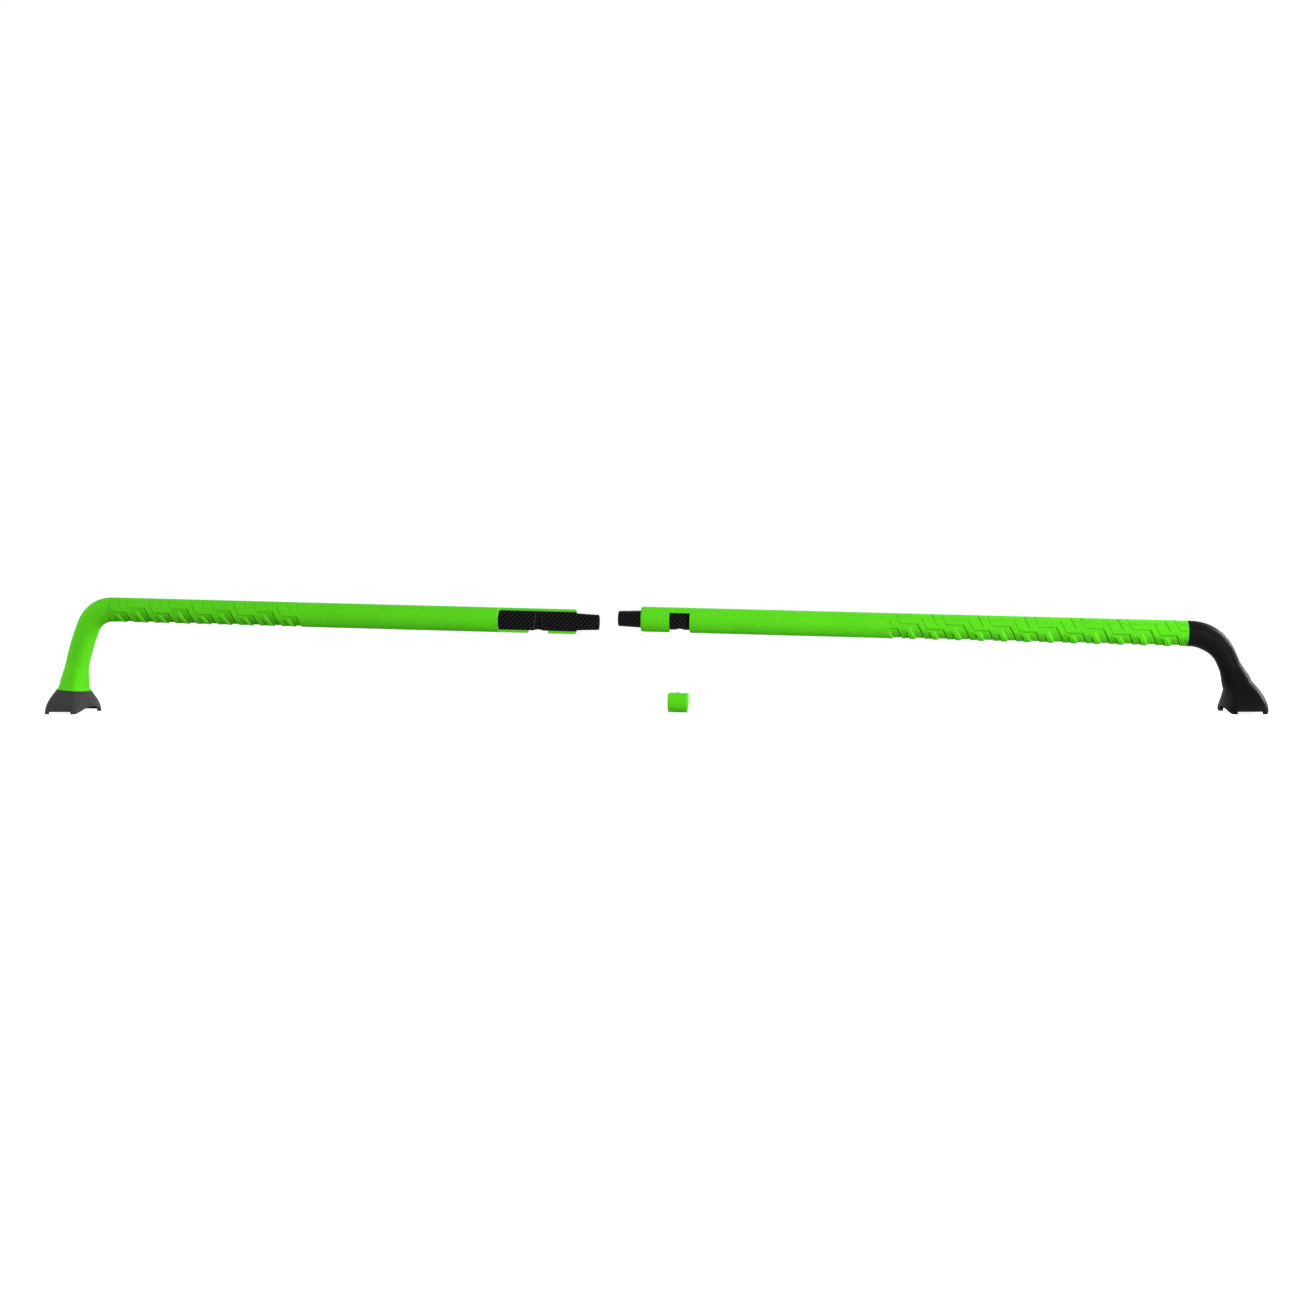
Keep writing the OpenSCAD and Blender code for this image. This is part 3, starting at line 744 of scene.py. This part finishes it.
def placed(station, x, y):
    out, z, heading = station
    return np.stack([out - x * math.sin(heading), y, z + x * math.cos(heading)], axis=1)


def bend(z0, straight, start, bend_r, lean, count):
    out, z0 = straight * math.cos(start), z0 + straight * math.sin(start)
    for heading in np.linspace(start, lean - math.pi / 2, count):
        across = bend_r * (math.sin(start) - math.sin(heading))
        down = bend_r * (math.cos(heading) - math.cos(start))
        yield out + across, z0 + down, heading


def leg(top, foot_out, lean, shares):
    out0, z1, _ = top
    reach, run = foot_out - out0, z1 * math.tan(lean)
    for t in shares:
        slope = reach * (6 * t - 6 * t * t) + run * (1 - 4 * t + 3 * t * t)
        yield (out0 + reach * (3 * t * t - 2 * t ** 3) + run * (t - 2 * t * t + t ** 3), z1 * (1 - t),
               math.atan2(-z1, slope))


class End:
    """One end of the boom: where its bend starts, which way it goes, and its sizes in millimetres."""

    def __init__(self, start, sense, slope, straight, bend_r, lean, foot_out, narrow_r, flare):
        self.start_x, self.start_z = start
        self.sense, self.foot_out = sense, foot_out
        self.foot_x = self.start_x + sense * foot_out
        self.narrow_r, self.flare_z = narrow_r, flare * NECK_Z
        self.bend = list(bend(self.start_z, straight, slope, bend_r, math.radians(lean), BEND_RINGS))
        self.first = (0, self.start_z, slope)
        self.lean = math.radians(lean)

    def leg(self, shares):
        return list(leg(self.bend[-1], self.foot_out, self.lean, shares))

    def ring(self, station, turned, less):
        radius = GRIP_R + (self.narrow_r - GRIP_R) * float(ease(NARROW_FROM, NARROW_TO, turned)) - less
        below = self.flare_z - station[1]
        deep = float(ease(0, self.flare_z - NECK_Z, below))
        wide = float(ease(0, self.flare_z - WIDE_Z, below))
        sizes = foot_at(station[1]) - np.array((0, less, less))
        return placed(station, *section(deep, wide, radius, sizes))

    def bend_rings(self, less):
        bent = [self.ring(s, i / (len(self.bend) - 1), less) for i, s in enumerate(self.bend)]
        return [self.ring(self.first, 0, less)] + bent if self.bend[0][0] > 0 else bent

    def leg_rings(self, shares, less):
        return [self.ring(s, 1, less) for s in self.leg(shares)]

    def world(self, rings):
        points = np.array(rings) * (self.sense, 1, 1)
        return (points + (self.start_x, 0, 0)) * MM


FRONT_END = End(start=(-610.74, 119.11), sense=-1, slope=SLOPE, straight=0, bend_r=30, lean=23,
                foot_out=48.5, narrow_r=13, flare=1.9)
REAR_END = End(start=(600.24, 86.11), sense=1, slope=-SLOPE, straight=3, bend_r=43, lean=23,
               foot_out=59, narrow_r=11.6, flare=1.7)


def skin_of_rings(name, end, rings):
    obj, turn, ring = ringed_tube(name, SIDES, len(rings))
    side = np.rint(turn / (2 * math.pi) * SIDES).astype(int) % SIDES
    move_points(obj, end.world(rings)[ring, side])
    return clean(obj, WELD)


def fill_ends(obj):
    edit(obj)
    bpy.ops.mesh.select_all(action="SELECT")
    bpy.ops.mesh.fill_holes(sides=0)
    leave()
    return clean(obj, WELD)


print("section has", SIDES, "points; foot centres at", FRONT_END.foot_x, REAR_END.foot_x)

# %% [markdown]
# ## The front leg's foam sleeve
#
# The green foam runs on round the front elbow and down the leg, and stops at a rounded lip just above the
# foot. It is a skin of rings, thickened inwards by Solidify, with its lower edge rounded over.

# %% Leg sleeve
SLEEVE_T, SLEEVE_Z, SLEEVE_GAP = 2.6, 26.5, 0.05
LIP_ROUND = 1.0
SLEEVE_RINGS = 34
sleeve_share = 1 - SLEEVE_Z / FRONT_END.bend[-1][1]
sleeve_leg = np.linspace(0, sleeve_share, SLEEVE_RINGS)[1:]
sleeve = skin_of_rings("front_leg_foam", FRONT_END,
                       FRONT_END.bend_rings(0) + FRONT_END.leg_rings(sleeve_leg, 0))
apply_modifier(sleeve, "SOLIDIFY", thickness=SLEEVE_T * MM, offset=-1)
lip = soften(sleeve, LIP_ROUND * MM, lambda point: point.z < 1.5 * SLEEVE_Z * MM, angle=50, segments=4)
print("lip edges rounded:", lip)
smooth(sleeve, 50)
finish_foam(sleeve, green_foam, "front_half", "front_leg_sleeve")

# %% [markdown]
# ## The moulded ends
#
# Under the sleeve, and bare at the rear, is one nylon moulding: a plug in the tube, the bent leg, and a
# foot that is hollow from below, with a curved seat for the strut, four small claws at its corners and a
# boss for the screw. The skin of rings gives the outside. The hollow, the seat and the edges between the
# claws are cut away as a mould would form them, and the edges are then eased.

# %% Moulded ends
FOOT_WALL, HOLLOW_Z = 2.8, 16
SEAT_RISE, CLAW_Y, CLAW_X, CLAW_Z = 7.5, 2.8, 1.5, 2.7
BOSS_R, BOSS_Z, INSERT_R, INSERT_LEN = 8, 9, 4.55, 12.05
PLUG_R, PLUG_LEN = 9.45, 45
STRUT_REACH, STRUT_SIDES, CLAW_CUT = 40, 160, 13
END_EASED, EASED_BELOW = 0.25, 30
FOOT_RINGS, LEG_RINGS = 14, 44


def upright(x, radius, low, high, sides=64):
    bpy.ops.object.select_all(action="DESELECT")
    bpy.ops.mesh.primitive_cylinder_add(vertices=sides, radius=radius * MM, depth=(high - low) * MM)
    obj = bpy.context.object
    obj.data.transform(Matrix.Translation((x * MM, 0, (low + high) / 2 * MM)))
    return obj


def foot_hollow(end):
    """The space inside the foot: its oval less the wall, from the roof to just below the floor."""
    wall = np.array((FOOT_WALL / 3, FOOT_WALL, FOOT_WALL))
    heights = np.append(np.linspace(HOLLOW_Z, 0, 7), -1)
    stations = [(end.foot_out, z, -math.pi / 2) for z in heights]
    rings = [placed(station, *section(1, 1, 0, foot_at(station[1]) - wall)) for station in stations]
    return fill_ends(skin_of_rings("foot_hollow", end, rings))


def moulded_end(name, end, half, bar, rings):
    obj = fill_ends(skin_of_rings(name, end, rings))
    foot_x = end.foot_x
    cut(obj, foot_hollow(end))
    cut(obj, upright(foot_x, BOSS_R, BOSS_Z, HOLLOW_Z + 2), "UNION")
    seat_half = FOOT_HALF[2] - CLAW_Y
    seat_r = (seat_half ** 2 + SEAT_RISE ** 2) / (2 * SEAT_RISE)
    strut = upright(0, seat_r, -STRUT_REACH, STRUT_REACH, STRUT_SIDES)
    strut.data.transform(Matrix.Translation((foot_x * MM, 0, (SEAT_RISE - seat_r) * MM))
                         @ Matrix.Rotation(math.pi / 2, 4, "Y"))
    cut(obj, strut)
    edge = FOOT_HALF[0] - CLAW_X
    for side in (-1, 1):
        y = side * FOOT_HALF[2]
        low, high = (foot_x - edge, y - CLAW_CUT, -1), (foot_x + edge, y + CLAW_CUT, CLAW_Z)
        cut(obj, block(Matrix.Identity(4), low, high))
    cut(obj, upright(foot_x, INSERT_R, BOSS_Z - 1, BOSS_Z + INSERT_LEN, 48))
    plug = upright(0, PLUG_R, 0, PLUG_LEN + 1)
    plug.data.transform(half @ Matrix.Translation(((bar - PLUG_LEN) * MM, 0, 0))
                        @ Matrix.Rotation(math.pi / 2, 4, "Y"))
    cut(obj, plug, "UNION")
    clean(obj, 0.01 * MM)
    eased = soften(obj, END_EASED * MM, lambda point: point.z < EASED_BELOW * MM, angle=42, segments=2)
    print(name, "edges eased:", eased)
    return smooth(obj, 38)


inset = SLEEVE_T + SLEEVE_GAP
inside_sleeve = FRONT_END.bend_rings(inset) + FRONT_END.leg_rings(sleeve_leg, inset)
front_foot = FRONT_END.leg_rings(np.linspace(sleeve_share, 1, FOOT_RINGS), 0)
front_end = moulded_end("front_moulded_end", FRONT_END, FRONT, FRONT_SMOOTH + FRONT_RIBBED,
                        inside_sleeve + front_foot)
finish_piece(front_end, grey_nylon, "front_half", "nylon_grey", "front_elbow")

rear_rings = REAR_END.bend_rings(0) + REAR_END.leg_rings(np.linspace(0, 1, LEG_RINGS)[1:], 0)
rear_end = moulded_end("rear_moulded_end", REAR_END, REAR, REAR_SMOOTH + REAR_RIBBED, rear_rings)
finish_piece(rear_end, black_nylon, "rear_half", "nylon_black", "rear_elbow")

# %% [markdown]
# ## The carbon spigots
#
# Each spigot is a solid carbon piece with a half lap, a tapered tongue, a socket for the other half's
# tongue and half of the keyway. The CAD solid already has the exact shape, so a copy of its mesh is
# merged and its sharp edges are eased a little. The eased edges get a lighter grey, a painted highlight
# along the edges. The weave map is then laid on: flat across the lap face, and wrapped round the curve
# elsewhere.

# %% Spigots
TUBE_R = 11
TONGUE_TIP = -66
TIP_ROUND, EDGE_BAND = 1.0, 0.4
SQUARE_TO_LAP, SQUARE_TO_BAR = 0.985, 0.9


def weave_map(obj, half):
    layer = obj.data.uv_layers.new(name="weave")
    back = half.inverted()
    turn = back.to_3x3()
    for face in obj.data.polygons:
        facing = turn @ face.normal
        for corner in face.loop_indices:
            along, y, up = back @ obj.data.vertices[obj.data.loops[corner].vertex_index].co / MM
            if abs(facing.y) > SQUARE_TO_LAP:
                spot = (along, up)
            elif abs(facing.x) > SQUARE_TO_BAR:
                spot = (y, up)
            else:
                spot = (along, TUBE_R * math.atan2(up, -y))
            layer.data[corner].uv = spot


def spigot(name, source, half, body):
    obj = copy_of(source, name)
    obj.data.materials.append(carbon)
    obj.data.materials.append(edge_highlight_paint)
    tip = soften(obj, TIP_ROUND * MM, lambda point: in_half(half, point).x < TONGUE_TIP, angle=45)
    # The eased edges take slot 1, the lighter grey: a painted highlight along the edges.
    eased = soften(obj, EDGE_BAND * MM, lambda point: in_half(half, point).x < LAP_HALF + 1, angle=45,
                   segments=2, slot=1)
    smooth(obj, 40)
    weave_map(obj, half)
    print(name, "edges rounded at the tip", tip, "and sanded", eased)
    finish_piece(obj, carbon, body, "carbon", source)


spigot("front_carbon_spigot", "front_spigot", FRONT, "front_half")
spigot("rear_carbon_spigot", "rear_spigot", REAR, "rear_half")

# %% [markdown]
# ## The clip and its key
#
# The clip is a short moulded channel with a round back, hollowed a little on both sides for the fingers,
# and the key is the tapered post in it. Their CAD shapes are right. What a moulding has and a CAD solid
# lacks is soft edges, so copies get their edges rounded well over.

# %% Clip and key
CLIP_ROUND, KEY_ROUND = 0.65, 0.5
clip = copy_of("lock_clip", "push_on_clip")
rounded = soften(clip, CLIP_ROUND * MM, angle=45)
smooth(clip, 40)
finish_piece(clip, clip_plastic, "lock_clip", "clip_plastic", "lock_clip")
key = copy_of("clip_key", "tapered_key")
rounded += soften(key, KEY_ROUND * MM, angle=45)
smooth(key, 40)
finish_piece(key, key_plastic, "lock_clip", "key_plastic", "clip_key")
print("clip and key edges rounded:", rounded)

# %% [markdown]
# ## What stays as CAD made it
#
# The tubes, the light cores that keep water out of them and the brass inserts hardly show. Their CAD
# shapes are right, so they keep their meshes and only get their finishes.

# %% Finishes of the inner pieces
inner = {"front_tube": carbon, "rear_tube": carbon,
         "front_foam_core": core_foam, "rear_foam_core": core_foam,
         "front_foot_insert": brass, "rear_foot_insert": brass}
for name, material in inner.items():
    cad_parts[name].data.materials.clear()
    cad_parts[name].data.materials.append(material)
print("CAD pieces finished:", sorted(inner))

# %% [markdown]
# ## Floor and light
#
# The boom stands on a white floor that runs into a white background. The white comes from what the camera
# sees, not from more light on the object: to the camera, and in reflections, floor and world are white,
# while to everything else they are plain grey-white surfaces. The floor still darkens under the feet,
# because part of what the camera sees there is lit by the lamps. Soft lamps and a pale sky light the
# object.

# %% Floor, world and lamps
WHITE = (1, 1, 1, 1)
MIDDLE = (0, 0, 0.08)


def seen_by_eye(tree):
    rays = node(tree, "LightPath")
    first = node(tree, "Math", {0: rays.outputs["Is Camera Ray"], 1: rays.outputs["Is Glossy Ray"]},
                 operation="MAXIMUM")
    return node(tree, "Math", {0: first.outputs[0], 1: rays.outputs["Is Transmission Ray"]},
                operation="MAXIMUM").outputs[0]


bpy.ops.object.select_all(action="DESELECT")
bpy.ops.mesh.primitive_plane_add(size=60)
floor = bpy.context.object
floor.name = "floor"
floor_paint, tree = blank_material("white_floor")
matt = node(tree, "BsdfDiffuse", {"Color": (0.5, 0.5, 0.5, 1)})
glow = node(tree, "Emission", {"Color": WHITE, "Strength": 0.86})
sum_of_both = node(tree, "AddShader", {0: matt.outputs[0], 1: glow.outputs[0]})
plain = node(tree, "BsdfDiffuse", {"Color": (0.42, 0.42, 0.42, 1)})
shown = node(tree, "MixShader", {0: seen_by_eye(tree), 1: plain.outputs[0], 2: sum_of_both.outputs[0]})
node(tree, "OutputMaterial", {"Surface": shown.outputs[0]})
floor.data.materials.append(floor_paint)

world = bpy.data.worlds.new("pale_studio")
bpy.context.scene.world = world
world.use_nodes = True
tree = world.node_tree
tree.nodes.clear()
sky = node(tree, "Background", {"Color": WHITE, "Strength": 0.36})
white = node(tree, "Background", {"Color": WHITE, "Strength": 1.0})
both = node(tree, "MixShader", {0: seen_by_eye(tree), 1: sky.outputs[0], 2: white.outputs[0]})
node(tree, "OutputWorld", {"Surface": both.outputs[0]})


def soft_lamp(name, place, target, size, watts):
    lamp = bpy.data.lights.new(name, "AREA")
    lamp.shape = "RECTANGLE"
    lamp.size, lamp.size_y = size
    lamp.energy = watts
    obj = bpy.data.objects.new(name, lamp)
    bpy.context.scene.collection.objects.link(obj)
    obj.location = place
    obj.rotation_euler = (Vector(target) - Vector(place)).to_track_quat("-Z", "Y").to_euler()


soft_lamp("key_lamp", (1.7, -2.3, 0.85), MIDDLE, (1.0, 1.0), 66)
soft_lamp("top_lamp", (0.0, -0.2, 2.4), MIDDLE, (2.4, 1.2), 4)
soft_lamp("back_lamp", (-0.6, 2.4, 1.5), MIDDLE, (1.0, 1.0), 16)
soft_lamp("rim_lamp", (1.5, 0.55, 0.6), (0.65, 0, 0.06), (0.5, 0.5), 25)
soft_lamp("side_lamp", (-1.5, 0.0, 0.32), (-0.65, 0, 0.06), (0.5, 0.5), 5)
bpy.context.scene.view_settings.view_transform = "Standard"
print("floor, world and five lamps set")
